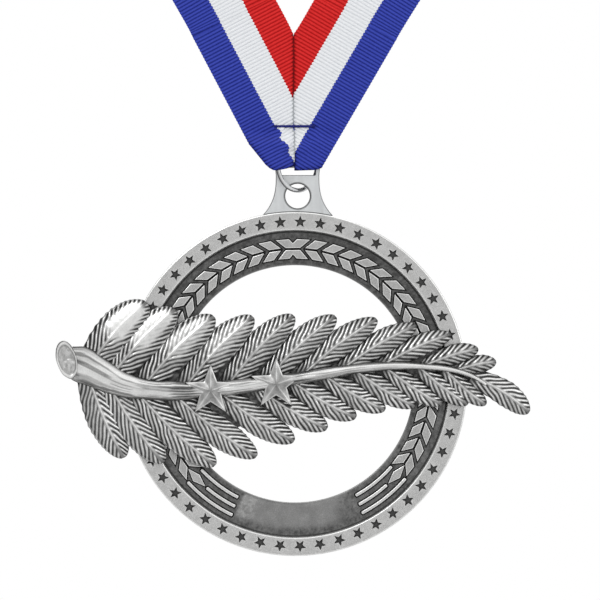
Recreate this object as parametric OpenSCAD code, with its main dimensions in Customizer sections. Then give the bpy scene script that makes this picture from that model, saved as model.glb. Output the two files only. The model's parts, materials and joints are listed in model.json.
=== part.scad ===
// Sports finisher medal on a neck ribbon, hanging upright.
// Design frame: x to the right, y to the back, z up, with zero near the middle of the cast ring.
// Every sub-part is then moved so that the origin is the ribbon's middle at the nape.

/* [Cast ring] */
// Outer diameter of the ring
ring_d = 84; // [80:0.5:86]
// Diameter of the opening
opening_d = 58; // [55:0.2:58.4]
// Thickness of the ring
ring_t = 3.5; // [3:0.1:4.5]
// Depth of the sunk field inside the rim
field_depth = 0.8; // [0.4:0.1:1.2]
// Width of the flat rim that carries the stars
rim_w = 4.3; // [4.1:0.1:4.8]
// Number of stars sunk into the rim
star_count = 51; // [30:3:54]
// Depth of each sunk star
star_depth = 0.4; // [0.2:0.1:0.8]

/* [Wreath] */
// Angle between one pair of leaves and the next
leaf_pitch = 7.3; // [7:0.1:7.3]
// Number of leaf pairs on each side
leaf_pairs = 17; // [10:1:17]
// Height of the leaves above the sunk field
leaf_h = 0.55; // [0.3:0.05:0.7]

/* [Hanger tab] */
// Thickness of the tab
tab_t = 1.8; // [1.5:0.1:1.8]
// Width of the tab at its top
tab_w = 11; // [10.6:0.1:11.4]
// Width of the tab where it meets the ring
tab_foot_w = 17.4; // [15:0.1:19]
// Diameter of the hole for the jump ring
tab_hole_d = 6; // [6:0.1:6.4]

/* [Jump ring] */
// Diameter of the ring at the middle of its wire
jump_d = 13; // [12.6:0.1:13.2]
// Diameter of the wire
wire_d = 1.1; // [0.9:0.05:1.1]
// Turn of the ring away from the face of the medal
jump_turn = 42; // [40:1:44]

/* [Frond] */
// Thickness of the leafy plate
frond_t = 2.2; // [1.6:0.1:2.6]
// Height of the stem above the plate
stem_h = 1.6; // [0.8:0.1:2]
// Number of leaflets above the stem, before the end leaflet
leaflets_above = 11; // [9:1:12]
// Number of leaflets below the stem, before the end leaflet
leaflets_below = 12; // [9:1:12]

/* [Ribbon] */
// Width of the ribbon
ribbon_w = 22.2; // [20:0.2:24]
// Thickness of the ribbon
ribbon_t = 0.5; // [0.4:0.05:0.6]
// Lean of the left leg from the vertical
lean_left = 27.7; // [26:0.1:29]
// Lean of the right leg from the vertical
lean_right = 30.2; // [29:0.1:31]

/* [Hidden] */
$fn = 96;
fine_fn = 180; // for the large round edges
eps = 0.05; // overlap that makes two solids of one node merge

ribbon_colour = [0.86, 0.86, 0.9];
thread_colour = [0.1, 0.12, 0.55];
cast_colour = [0.55, 0.55, 0.54];
bright_colour = [0.76, 0.78, 0.79];

// Middle of the ribbon at the nape, in the design frame
nape = [0, 146, 296];

// Cast ring
ring_middle = [-0.6, 0, 0.2];
ring_r = ring_d / 2;
opening_r = opening_d / 2;
front_y = -ring_t / 2;
back_y = ring_t / 2;
rim_r = ring_r - rim_w;
lip_w = 0.5; // width of the slope from the rim down to the sunk field
edge_cut = 0.3; // chamfer on the ring's outer edges
inner_cut = 0.2; // chamfer on the edge of the opening
star_circle_r = ring_r - 2.4; // the circle that the stars stand on
star_turn = 1.8; // clockwise from the top, as seen from the front
star_r = 1.5;
star_waist = 0.42; // inner radius of a star over its outer radius

// Wreath: two rows of slanted leaves, with bars and a lozenge at each lower end
wreath_turn = 0.9; // anticlockwise, as seen from the front
groove_r = 33; // middle line between the rows
groove_w = 0.45;
outer_row = [groove_r + groove_w / 2, 35.4];
inner_row = [30.6, groove_r - groove_w / 2];
leaf_turn = 5.1; // angle that one leaf covers
leaf_slant = 3.8; // angle by which its far edge lags
top_turn = 3.1; // half of the pair at the very top, on the middle line
top_gap = 1.9; // angle between that pair and the next
notch_turn = 1.6; // half-angle of the notch in the pair at the top
notch_share = 0.45; // depth of the notch over the width of the row
bar_rows = [31, 33.3, 35.5];
bar_w = 0.85;
bar_starts = [27.7, 27.1, 26.5]; // angles from the bottom of the ring
bar_ends = [48.4, 41.2, 48.4];
lozenge_turn = [42, 52.6];
lozenge_half_w = 1.15;

// Hanger tab
hole_z = 46.1;
hole_chamfer = 0.25;
slot_z = [51.2, 53];
slot_w = 8.8;
tab_top_z = 54.1;
tab_corner_r = 1;
tab_waist_w = 10.6; // width just under the slot
tab_foot_z = 41.3;
tab_flare = 2.8; // how late the sides spread towards the foot

// Jump ring
jump_r = jump_d / 2;
wire_r = wire_d / 2;
jump_low_z = 47.5; // middle of the wire where it carries the tab
jump_z = jump_low_z + jump_r;
jump_gap = 0.3; // slit between the wire's two ends
jump_gap_turn = 205; // where the slit is, round from the side of the ring

// Frond: its stem runs from left to right, with one height and one width every stem_pitch
stem_start = -56;
stem_pitch = 14;
stem_heights = [6.1, -0.1, -1.5, -0.4, 1.6, 3.9, 4.6, 2.4, -6.5];
stem_widths = [8.2, 5.7, 4.3, 3.2, 2.9, 2.2, 1.4, 0.9, 0.5];
stem_end = 46; // where the stem runs out into the end leaflet
// Where the leaflets leave the stem, and the curves their tips lie on, from left to right
bases_above = [-51.2, -38, -17.5, 0.6, 20.2, 38.5];
bases_below = [-51.6, -38.5, -16, 3, 19.7, 35.8];
tips_above = [[-36.8, 20.2], [-20.4, 16.8], [-0.9, 17], [19.4, 16.1], [37.5, 12.4], [48.5, 5.7]];
tips_below = [[-42.4, -17.9], [-17.9, -19.6], [2.6, -12.5], [18.5, -6.8], [34.1, -4.9], [46, -4.9]];
half_w_above = [4.9, 2.2];
half_w_below = [4.3, 2.3];
web_share = 0.6; // share of each leaflet that the casting's web joins
end_leaflet = [[42.4, 2.1], [56.6, -6.7]];
end_half_w = 3.1;
cut_end = [-56.2, 6.1];
cut_end_size = [4.9, 9.2];
cut_end_turn = 17;
ornament_places = [[-21.2, -1.4], [-5.2, 0.2]];
ornament_r = 6.6;
ornament_h = 1.9;

// Rivets that hold the frond to the ring
rivet_turns = [171, 189, 8, -1];
rivet_circle_r = 34.6;
rivet_r = 1.2;
rivet_fit = 0.02;
rivet_head_r = 1.9;
rivet_head_h = 0.7;
rivet_depth = 1.3; // length of the rivet inside the frond
rivet_sunk = 0.05; // keeps the rivets just under the back face

// Ribbon: the V, then each leg's route to the nape
seam_x = -0.85;
v_top_z = 85.5; // where the inner edges meet
flap_z = 52.5; // lower edge of the flap
flap_rise = 1.6; // how much higher that edge is at its outer corner
ribbon_y = -2; // plane of the V
flap_out = 1.2; // how far the flap stands off towards the front
flap_flare = 0.45; // extra on its left side, over the jump ring
flap_reach = 6; // width of that flare
tack_z = 63.1;
flap_start = 61.8; // under the bar tack, where the flap starts to move out
flap_fall = 3.2; // height over which it does so
straight_z = 100; // up to here each leg is flat and straight
leg_route = [
  [30, -1, 115], [46, 4, 142], [62, 13, 171], [75, 27, 202], [83, 48, 232],
  [82, 75, 257], [71, 103, 275], [53, 125, 287], [28, 140, 294], [0, 146, 296]
];
leg_steps = 4; // rings between one point and the next
neck_y = 62; // axis of the neck, which the ribbon turns its inner face to
loop_w = 3.2; // tail loop round the top of the jump ring
loop_r = 1;
loop_top = 4.4; // height of its sewn ends over the wire
tail_gap = 0.5; // from the plane of the V to the front tail
tack_x = -0.7;
tack_size = [9.8, 0.65, 0.5]; // length, height and how far it stands proud
stitch_r = 0.16;
stitch_pitch = 2;
stitch_l = 1.3;
stitch_start = 3; // height of the first stitch over the bar tack

function mix(a, b, t) = a + (b - a) * t;
function smooth(t) = let (c = max(0, min(1, t))) c * c * (3 - 2 * c);
function unit(v) = v / norm(v);
function polar(r, a) = [r * cos(a), r * sin(a)];
function reversed(list) = [for (i = [len(list) - 1:-1:0]) list[i]];

// A point on the smooth curve through a list of points, for t from 0 to the last index
function clamped(list, i) = list[max(0, min(len(list) - 1, i))];
function curve_at(list, t) =
  let (
    i = min(floor(t), len(list) - 2), f = t - i,
    a = clamped(list, i - 1), b = list[i], c = list[i + 1], d = clamped(list, i + 2)
  )
  b + 0.5 * f * (c - a + f * (2 * a - 5 * b + 4 * c - d + f * (3 * (b - c) + d - a)));

module in_place() {
  translate(-nape) children();
}

module round_ring_middle() {
  translate(ring_middle) children();
}

// Turns a flat drawing in x and y into a plate from y = low to y = high, standing upright
module upright(low, high) {
  translate([0, high, 0]) rotate([90, 0, 0]) linear_extrude(high - low) children();
}

module star(r) {
  polygon([for (i = [0:9]) polar(i % 2 == 0 ? r : r * star_waist, 90 + 36 * i)]);
}

// ---------- cast ring ----------

module ring_body() {
  rotate_extrude($fn = fine_fn)
    polygon([
      [opening_r, -back_y],
      [ring_r - edge_cut, -back_y],
      [ring_r, edge_cut - back_y],
      [ring_r, -front_y - edge_cut],
      [ring_r - edge_cut, -front_y],
      [rim_r, -front_y],
      [rim_r - lip_w, -front_y - field_depth],
      [opening_r + inner_cut, -front_y - field_depth],
      [opening_r, -front_y - field_depth - inner_cut]
    ]);
}

// One leaf as seen from the front. side is 1 or -1, and rows gives its near and far radius.
module leaf(from, near, far, side) {
  polygon([
    polar(near, 90 - side * from),
    polar(near, 90 - side * (from + leaf_turn)),
    polar(far, 90 - side * (from + leaf_turn + leaf_slant)),
    polar(far, 90 - side * (from + leaf_slant))
  ]);
}

module top_leaves(near, far) {
  polygon([
    polar(near, 90 - top_turn),
    polar(far, 90 - top_turn - leaf_slant),
    polar(far, 90 - notch_turn),
    polar(mix(far, near, notch_share), 90),
    polar(far, 90 + notch_turn),
    polar(far, 90 + top_turn + leaf_slant),
    polar(near, 90 + top_turn)
  ]);
}

module arc_bar(r, from, to) {
  steps = 8;
  turns = [for (i = [0:steps]) mix(from, to, i / steps)];
  polygon(concat(
    [for (a = turns) polar(r - bar_w / 2, a)],
    [for (a = reversed(turns)) polar(r + bar_w / 2, a)]
  ));
}

module lozenge(side) {
  middle = (lozenge_turn[0] + lozenge_turn[1]) / 2;
  polygon([
    polar(bar_rows[1], -90 + side * lozenge_turn[0]),
    polar(bar_rows[1] + lozenge_half_w, -90 + side * middle),
    polar(bar_rows[1], -90 + side * lozenge_turn[1]),
    polar(bar_rows[1] - lozenge_half_w, -90 + side * middle)
  ]);
}

module wreath() {
  for (side = [-1, 1]) {
    for (i = [0:leaf_pairs - 1]) {
      from = top_turn + top_gap + i * leaf_pitch;
      leaf(from, outer_row[0], outer_row[1], side);
      leaf(from, inner_row[1], inner_row[0], side);
    }
    for (i = [0:len(bar_rows) - 1])
      arc_bar(bar_rows[i], -90 + side * bar_starts[i], -90 + side * bar_ends[i]);
    lozenge(side);
  }
  top_leaves(outer_row[0], outer_row[1]);
  top_leaves(inner_row[1], inner_row[0]);
}

module rivet_places() {
  for (a = rivet_turns) rotate([0, -a, 0]) translate([rivet_circle_r, 0, 0]) children();
}

// A round rod along y, from y = low to y = high
module rod_y(r, low, high) {
  translate([0, high, 0]) rotate([90, 0, 0]) cylinder(r = r, h = high - low);
}

module rivet(grow) {
  rod_y(rivet_r + grow, front_y - rivet_depth - grow, back_y - rivet_sunk + grow);
  translate([0, back_y - rivet_sunk + grow, 0]) rotate([90, 0, 0])
    cylinder(r1 = rivet_head_r + grow, r2 = rivet_r + grow, h = rivet_head_h);
}

module medal_ring() {
  color(cast_colour) in_place() round_ring_middle() difference() {
    union() {
      rotate([90, 0, 0]) ring_body();
      upright(front_y + field_depth - leaf_h, front_y + field_depth + eps) rotate(wreath_turn) wreath();
    }
    upright(front_y - 1, front_y + star_depth)
      for (i = [0:star_count - 1])
        rotate(360 * i / star_count - star_turn) translate([0, star_circle_r]) star(star_r);
    rivet_places() rivet(rivet_fit);
  }
}

// ---------- hanger tab ----------

// Half-width of the tab between its foot and its slot: the sides spread in a concave curve
function tab_half(z) =
  mix(tab_waist_w, tab_foot_w, pow((slot_z[0] - z) / (slot_z[0] - tab_foot_z), tab_flare)) / 2;

module tab_outline() {
  steps = 16;
  buried_z = ring_r - 4;
  heights = [for (i = [0:steps]) mix(tab_foot_z, slot_z[0], i / steps)];
  polygon(concat(
    [[-tab_foot_w / 2, buried_z], [tab_foot_w / 2, buried_z]],
    [for (z = heights) [tab_half(z), z]],
    [[tab_w / 2, tab_top_z - tab_corner_r], [tab_w / 2 - tab_corner_r, tab_top_z]],
    [[tab_corner_r - tab_w / 2, tab_top_z], [-tab_w / 2, tab_top_z - tab_corner_r]],
    [for (z = reversed(heights)) [-tab_half(z), z]]
  ));
}

module hanger_tab() {
  color(bright_colour) in_place() difference() {
    upright(-tab_t / 2, tab_t / 2) tab_outline();
    round_ring_middle() rod_y(ring_r, -tab_t, tab_t, $fn = fine_fn);
    translate([-slot_w / 2, -tab_t, slot_z[0]]) cube([slot_w, 2 * tab_t, slot_z[1] - slot_z[0]]);
    translate([0, 0, hole_z]) {
      rod_y(tab_hole_d / 2, -tab_t, tab_t);
      for (side = [-1, 1]) rotate([side * 90, 0, 0]) translate([0, 0, tab_t / 2 - hole_chamfer])
        cylinder(r1 = tab_hole_d / 2, r2 = tab_hole_d / 2 + 2 * hole_chamfer, h = 2 * hole_chamfer);
    }
  }
}

// ---------- jump ring ----------

module jump_ring() {
  slit_turn = jump_gap / jump_r * 180 / PI;
  color(bright_colour) in_place() translate([0, 0, jump_z]) rotate([0, 0, jump_turn])
    rotate([90, jump_gap_turn, 0])
      rotate_extrude(angle = 360 - slit_turn, $fn = fine_fn) translate([jump_r, 0]) circle(wire_r, $fn = 48);
}

// ---------- frond ----------

function stem_at(x) =
  let (t = (x - stem_start) / stem_pitch)
  [x, curve_at(stem_heights, t), curve_at(stem_widths, t)];
function stem_point(x) = let (p = stem_at(x)) [p[0], p[1]];
function leaflet_half(t) = pow(sin(180 * pow(t, 1.5)), 0.5);

// Base, tip and half-width of leaflet number i out of count on one side of the stem
function leaflet_set(i, count, bases, tips, half_w) =
  let (f = i / (count - 1), t = f * (len(tips) - 1))
  [stem_point(curve_at(bases, t)), curve_at(tips, t), mix(half_w[0], half_w[1], f)];
above = [
  for (i = [0:leaflets_above - 1]) leaflet_set(i, leaflets_above, bases_above, tips_above, half_w_above)
];
below = [
  for (i = [0:leaflets_below - 1]) leaflet_set(i, leaflets_below, bases_below, tips_below, half_w_below)
];

module leaflet(base, tip, half_w) {
  along = tip - base;
  across = unit([-along[1], along[0]]) * half_w;
  steps = 9;
  sides = [for (i = [1:steps]) i / (steps + 0.4)];
  polygon(concat(
    [base],
    [for (t = sides) base + along * t + across * leaflet_half(t)],
    [tip],
    [for (t = reversed(sides)) base + along * t - across * leaflet_half(t)]
  ));
}

module leaflets() {
  for (set = concat(above, below)) leaflet(set[0], set[1], set[2]);
  leaflet(end_leaflet[0], end_leaflet[1], end_half_w);
  polygon(concat(
    [for (set = above) mix(set[0], set[1], web_share)],
    [mix(end_leaflet[0], end_leaflet[1], web_share)],
    [for (set = reversed(below)) mix(set[0], set[1], web_share)],
    [stem_point(bases_above[0])]
  ));
}

module stem_outline() {
  steps = 22;
  places = [for (i = [0:steps]) mix(stem_start, stem_end, i / steps)];
  polygon(concat(
    [for (x = places) let (p = stem_at(x)) [p[0], p[1] - p[2] / 2]],
    [for (x = reversed(places)) let (p = stem_at(x)) [p[0], p[1] + p[2] / 2]]
  ));
}

module cut_end_outline() {
  translate(cut_end) rotate(cut_end_turn) scale([cut_end_size[0], cut_end_size[1]] / 2) circle(1);
}

module frond() {
  plate_y = front_y - frond_t;
  color(cast_colour) in_place() difference() {
    union() {
      upright(plate_y, front_y) {
        leaflets();
        stem_outline();
        cut_end_outline();
      }
      upright(plate_y - stem_h, plate_y + eps) {
        stem_outline();
        cut_end_outline();
      }
      upright(plate_y - ornament_h, plate_y + eps)
        for (p = ornament_places) translate(p) star(ornament_r);
    }
    round_ring_middle() rivet_places() rivet(rivet_fit);
  }
}

module frond_rivets() {
  color(bright_colour) in_place() round_ring_middle() rivet_places() rivet(0);
}

// ---------- ribbon ----------

// Depth of the front of the V and its flap at a point of the face
function flap_y(x, z) =
  let (left = smooth(-x / flap_reach) * flap_reach)
  ribbon_y - (flap_out + flap_flare * left) * smooth((flap_start - z) / flap_fall);

// The side that each leg leans to, its lean, and where its middle line crosses the straight part
function lean(side) = side < 0 ? lean_left : lean_right;
function leg_dir(side) = [side * sin(lean(side)), cos(lean(side))];
function leg_across(side) = [side * cos(lean(side)), -sin(lean(side))];
function leg_point(side, v, s) =
  [seam_x, v_top_z] + leg_across(side) * v * ribbon_w + leg_dir(side) * s;

// Along each line v of the strip, where the mitre or the lower edge of the flap ends it
function mitre_s(side, v) = -v * ribbon_w / tan(lean(side)) - eps;
function flap_s(side, v) =
  (flap_z + flap_rise * pow(v, 8) - v_top_z + v * ribbon_w * sin(lean(side))) / cos(lean(side));
function start_s(side, v) = max(mitre_s(side, v), flap_s(side, v));
function straight_s(side) = (straight_z - v_top_z) / cos(lean(side));

// Faces of a slab whose front and back are grids of points, rows by columns
function grid_faces(rows, cols) =
  let (
    n = rows * cols,
    cells = [for (i = [0:rows - 2], j = [0:cols - 2]) [i * cols + j, (i + 1) * cols + j]],
    edge = concat(
      [for (j = [0:cols - 2]) j],
      [for (i = [0:rows - 2]) i * cols + cols - 1],
      [for (j = [cols - 1:-1:1]) (rows - 1) * cols + j],
      [for (i = [rows - 1:-1:1]) i * cols]
    )
  )
  concat(
    [for (c = cells) [c[0], c[0] + 1, c[1] + 1]],
    [for (c = cells) [c[0], c[1] + 1, c[1]]],
    [for (c = cells) [n + c[0], n + c[1] + 1, n + c[0] + 1]],
    [for (c = cells) [n + c[0], n + c[1], n + c[1] + 1]],
    [for (k = [0:len(edge) - 1]) let (a = edge[k], b = edge[(k + 1) % len(edge)]) [a, n + a, n + b]],
    [for (k = [0:len(edge) - 1]) let (a = edge[k], b = edge[(k + 1) % len(edge)]) [a, n + b, b]]
  );

module slab(front, back, flip) {
  rows = len(front);
  cols = len(front[0]);
  faces = grid_faces(rows, cols);
  points = concat([for (row = front) each row], [for (row = back) each row]);
  polyhedron(points, flip ? faces : [for (f = faces) reversed(f)]);
}

// The flat part of one leg: from the mitre and the flap up to the straight part's end
module v_half(side) {
  rows = 32;
  cols = 26;
  function at(i, j, off) =
    let (
      v = j / (cols - 1), s0 = start_s(side, v),
      p = leg_point(side, v, mix(s0, straight_s(side), i / (rows - 1)))
    )
    [p[0], flap_y(p[0], p[1]) + off, p[1]];
  slab(
    [for (i = [0:rows - 1]) [for (j = [0:cols - 1]) at(i, j, -ribbon_t / 2)]],
    [for (i = [0:rows - 1]) [for (j = [0:cols - 1]) at(i, j, ribbon_t / 2)]],
    side < 0
  );
}

// The rest of one leg, from the straight part up and round to the nape
function leg_points(side) =
  let (
    a = leg_point(side, 0.5, straight_s(side) - 6),
    b = leg_point(side, 0.5, straight_s(side))
  )
  concat(
    [[a[0], ribbon_y, a[1]], [b[0], ribbon_y, b[1]]],
    [for (p = leg_route) [side * p[0], p[1], p[2]]],
    [let (p = leg_route[len(leg_route) - 2]) [-side * p[0], p[1], p[2]]]
  );

module leg(side) {
  points = leg_points(side);
  last = len(points) - 2; // the last point only sets the direction at the nape
  steps = leg_steps * last;
  function inward(p) =
    unit(mix([0, 1, 0], unit([-p[0], neck_y - p[1], 0]), smooth((p[2] - straight_z) / 120)));
  function across(t, p) =
    let (ahead = curve_at(points, t + 0.1) - curve_at(points, max(0, t - 0.1)))
    unit(cross(inward(p), ahead)) * ribbon_w / 2;
  function at(i, off) =
    let (t = last * i / steps, p = curve_at(points, t), w = across(t, p) * side, n = inward(p) * off)
    [p + n - w, p + n + w];
  slab(
    [for (i = [0:steps]) at(i, -ribbon_t / 2)],
    [for (i = [0:steps]) at(i, ribbon_t / 2)],
    side < 0
  );
}

// The tails of the ribbon, turned back as a loop round the top of the jump ring. Each row of the
// loop gives its place across the wire, its height over the wire and its turn.
module tail_loop() {
  steps = 12;
  arc = [for (i = [0:steps]) 180 + 180 * i / steps];
  function u_path(r) =
    let (front = ribbon_y + tail_gap - (r - loop_r), back = ribbon_y + tail_gap + 0.2 + (r - loop_r))
    concat(
      [[front, loop_top, 0], [front, loop_top - 1, 0]],
      [for (a = arc) [r * cos(a), r * sin(a), jump_turn]],
      [[back, loop_top - 1, 0], [back, loop_top, 0]]
    );
  function row(p) = [
    for (side = [-1, 1]) let (a = side * loop_w / 2)
      [a * cos(p[2]) - p[0] * sin(p[2]), a * sin(p[2]) + p[0] * cos(p[2]), p[1]]
  ];
  translate([0, 0, jump_z + jump_r])
    slab([for (p = u_path(loop_r)) row(p)], [for (p = u_path(loop_r + ribbon_t)) row(p)], false);
}

module neck_ribbon() {
  color(ribbon_colour) in_place() union() {
    for (side = [-1, 1]) {
      v_half(side);
      leg(side);
    }
    tail_loop();
  }
}

module bar_tack() {
  color(thread_colour) in_place()
    translate([tack_x, ribbon_y - ribbon_t / 2, tack_z]) rotate([90, 0, 0])
      linear_extrude(tack_size[2]) {
        square([tack_size[0] - tack_size[1], tack_size[1]], center = true);
        for (side = [-1, 1])
          translate([side * (tack_size[0] - tack_size[1]) / 2, 0]) circle(tack_size[1] / 2);
      }
}

module seam_stitching() {
  count = floor((v_top_z - tack_z - stitch_start) / stitch_pitch) - 1;
  color(thread_colour) in_place()
    for (i = [0:count - 1])
      translate([seam_x, ribbon_y + ribbon_t / 2 + stitch_r, tack_z + stitch_start + i * stitch_pitch])
        cylinder(r = stitch_r, h = stitch_l, $fn = 16);
}

neck_ribbon();
seam_stitching();
bar_tack();
jump_ring();
hanger_tab();
medal_ring();
frond();
frond_rivets();
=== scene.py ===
"""Looks of the sports finisher medal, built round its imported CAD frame.

All lengths are in metres. The medal's parts are laid out in the plane of the cast ring, with zero
at the ring's middle, x to the right, z up and y to the back, and then moved to the ring's place.
"""

import json  # noqa: E402
import math  # noqa: E402

import bmesh  # noqa: E402
import bpy  # noqa: E402
import numpy as np  # noqa: E402
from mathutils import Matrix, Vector  # noqa: E402
from mathutils.geometry import tessellate_polygon  # noqa: E402


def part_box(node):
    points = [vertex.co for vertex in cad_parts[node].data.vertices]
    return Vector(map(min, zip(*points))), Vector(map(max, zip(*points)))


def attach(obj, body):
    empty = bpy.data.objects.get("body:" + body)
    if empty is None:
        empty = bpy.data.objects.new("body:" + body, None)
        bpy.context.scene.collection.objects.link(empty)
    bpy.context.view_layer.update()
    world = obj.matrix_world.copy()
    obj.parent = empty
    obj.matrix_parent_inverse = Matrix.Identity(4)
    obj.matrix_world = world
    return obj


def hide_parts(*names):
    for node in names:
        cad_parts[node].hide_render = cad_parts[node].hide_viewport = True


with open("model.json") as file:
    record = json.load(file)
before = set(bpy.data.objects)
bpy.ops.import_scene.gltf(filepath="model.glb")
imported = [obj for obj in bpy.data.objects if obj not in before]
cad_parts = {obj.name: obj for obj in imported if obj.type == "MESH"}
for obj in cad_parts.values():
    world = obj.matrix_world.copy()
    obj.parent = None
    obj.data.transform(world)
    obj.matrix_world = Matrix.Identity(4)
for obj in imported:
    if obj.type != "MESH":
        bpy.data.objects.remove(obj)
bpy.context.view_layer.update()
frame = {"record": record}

# ---------- places read from the frame ----------

ring_low, ring_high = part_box("medal_ring")
RING_PLACE = Vector((-0.6e-3, 0, 0.2e-3))
MIDDLE = (ring_low + ring_high) / 2 - RING_PLACE  # the zero of the drawing, near the ring's middle
RING_R = (ring_high.x - ring_low.x) / 2
BACK_Y = (ring_high.y - ring_low.y) / 2
FRONT_Y = -BACK_Y
jump_low, jump_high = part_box("jump_ring")
JUMP_MIDDLE = (jump_low + jump_high) / 2
SWING_AXIS = Vector(frame["record"]["behaviour"]["joints"][0]["axis"])

# ---------- small tools ----------

random = np.random.default_rng(11)
LATTICE = random.random((64, 64))
TAU = 2 * math.pi


def mix(a, b, t):
    return a + (b - a) * t


def smooth(t):
    t = np.clip(t, 0, 1)
    return t * t * (3 - 2 * t)


def bump(t):
    """1 at zero, falling to about 0.37 at one."""
    return np.exp(-t * t)


def noise(x, y):
    """Smooth noise from -1 to 1, with cells one unit wide."""
    x, y = np.broadcast_arrays(x, y)
    i, j = np.floor(x).astype(int), np.floor(y).astype(int)
    fx, fy = smooth(x - i), smooth(y - j)
    low = mix(LATTICE[i % 64, j % 64], LATTICE[(i + 1) % 64, j % 64], fx)
    high = mix(LATTICE[i % 64, (j + 1) % 64], LATTICE[(i + 1) % 64, (j + 1) % 64], fx)
    return 2 * mix(low, high, fy) - 1


def curve_at(points, t):
    """The smooth curve through a list of points or numbers, for t from 0 to the last index."""
    points = np.asarray(points, float).reshape(len(points), -1)
    t, last = np.asarray(t, float), len(points) - 1
    i = np.clip(np.floor(t).astype(int), 0, last - 1)
    f = (t - i)[..., None]
    a, b = points[np.clip(i - 1, 0, last)], points[i]
    c, d = points[i + 1], points[np.clip(i + 2, 0, last)]
    return b + 0.5 * f * (c - a + f * (2 * a - 5 * b + 4 * c - d + f * (3 * (b - c) + d - a)))


def unit(vectors):
    return vectors / np.linalg.norm(vectors, axis=1)[:, None]


def polar(r, degrees):
    a = np.radians(degrees)
    return np.stack(np.broadcast_arrays(r * np.cos(a), r * np.sin(a)), -1)


def grid_faces(rows, cols, closed=False):
    """Faces of a grid of points, row by row. A closed grid joins its last column to its first."""
    j = np.arange(cols if closed else cols - 1)
    i = np.arange(rows - 1)[:, None] * cols
    k = (j + 1) % cols
    return np.stack([i + j, i + k, i + cols + k, i + cols + j], -1).reshape(-1, 4)


class Build:
    """Points, faces and per-point values of one piece, gathered part by part."""

    def __init__(self):
        self.points, self.faces, self.values, self.count = [], [], [], 0

    def add(self, points, faces, *values):
        """values is one number or one array for each of the piece's named layers."""
        points = np.asarray(points, float).reshape(-1, 3)
        self.points.append(points)
        self.faces += [[int(i) + self.count for i in face] for face in faces]
        self.values.append([np.broadcast_to(np.ravel(v), len(points)) for v in values])
        self.count += len(points)

    def loops(self, loops, tones, caps=(-1,)):
        """A stack of closed loops of points, each with one tone or one for each point. caps says
        which loops are closed with a flat face."""
        n = len(loops[0])
        faces = grid_faces(len(loops), n, True).tolist()
        faces += [[k % len(loops) * n + i for i in range(n)] for k in caps]
        self.add(np.concatenate(loops), faces, np.concatenate([np.broadcast_to(t, n) for t in tones]))

    def tube(self, line, radius, across, cols, *values):
        """A round thread or wire along a line of points. across is a direction that the line
        never takes."""
        line = np.asarray(line, float)
        ahead = unit(np.gradient(line, axis=0))
        side = unit(np.cross(ahead, across))
        other = np.cross(ahead, side)
        a = np.arange(cols) * TAU / cols
        radius = np.broadcast_to(radius, (len(line), cols))[..., None]
        points = line[:, None] + radius * (
            np.cos(a)[:, None] * side[:, None] + np.sin(a)[:, None] * other[:, None]
        )
        faces = grid_faces(len(line), cols, True).tolist()
        faces += [list(range(cols)), [(len(line) - 1) * cols + i for i in range(cols)]]
        self.add(points, faces, *values)

    def make(self, name, body, node, material, layers=("tone",), offset=(0, 0, 0), crease=35):
        mesh = bpy.data.meshes.new(name)
        points = np.concatenate(self.points) + np.array(offset)
        mesh.from_pydata(points.tolist(), [], self.faces)
        for k, layer in enumerate(layers):
            values = np.concatenate([v[k] for v in self.values]).astype(np.float32)
            mesh.attributes.new(layer, "FLOAT", "POINT").data.foreach_set("value", values)
        turned = bmesh.new()
        turned.from_mesh(mesh)
        bmesh.ops.recalc_face_normals(turned, faces=turned.faces)
        turned.to_mesh(mesh)
        turned.free()
        mesh.shade_smooth()
        mesh.set_sharp_from_angle(angle=math.radians(crease))
        piece = bpy.data.objects.new(name, mesh)
        bpy.context.scene.collection.objects.link(piece)
        mesh.materials.append(material)
        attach(piece, body)
        if node:
            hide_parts(node)
        return piece


# ---------- materials ----------


def new_material(name):
    material = bpy.data.materials.new(name)
    material.use_nodes = True
    tree = material.node_tree
    return material, tree, tree.nodes["Principled BSDF"]


def put(tree, made, inputs):
    """Sets a node's inputs to numbers and colours, or links them to other nodes."""
    for key, value in inputs.items():
        if isinstance(value, bpy.types.NodeSocket):
            tree.links.new(value, made.inputs[key])
        else:
            made.inputs[key].default_value = value
    return made


def node(tree, kind, inputs=None, **settings):
    made = tree.nodes.new(kind)
    for key, value in settings.items():
        setattr(made, key, value)
    return put(tree, made, inputs or {})


def math_node(tree, operation, *values, clamp=False):
    made = node(tree, "ShaderNodeMath", dict(enumerate(values)), operation=operation)
    made.use_clamp = clamp
    return made.outputs[0]


def layer(tree, name):
    """The number that a piece's points carry under a name."""
    return node(tree, "ShaderNodeAttribute", attribute_name=name).outputs["Fac"]


def mix_colours(tree, factor, a, b, blend="MIX"):
    inputs = {0: factor, 6: a, 7: b}
    return node(tree, "ShaderNodeMix", inputs, data_type="RGBA", blend_type=blend).outputs[2]


def relief(tree, strength, distance, height):
    inputs = {"Strength": strength, "Distance": distance, "Height": height}
    return node(tree, "ShaderNodeBump", inputs).outputs[0]


def texture_noise(tree, scale, detail=4.0, stretch=(1, 1, 1)):
    """Noise in the object's own coordinates, scale cells to a metre, as a factor round 0.5."""
    place = node(tree, "ShaderNodeTexCoord").outputs["Object"]
    mapped = node(tree, "ShaderNodeMapping", {"Vector": place, "Scale": stretch}).outputs[0]
    return node(
        tree, "ShaderNodeTexNoise", {"Vector": mapped, "Scale": scale, "Detail": detail}
    ).outputs["Fac"]


def ramp(tree, factor, stops):
    made = node(tree, "ShaderNodeValToRGB", {"Fac": factor})
    elements = made.color_ramp.elements
    while len(elements) < len(stops):
        elements.new(0.5)
    for element, (position, colour) in zip(elements, stops):
        element.position = position
        element.color = (*colour, 1)
    return made.outputs["Color"]


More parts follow.
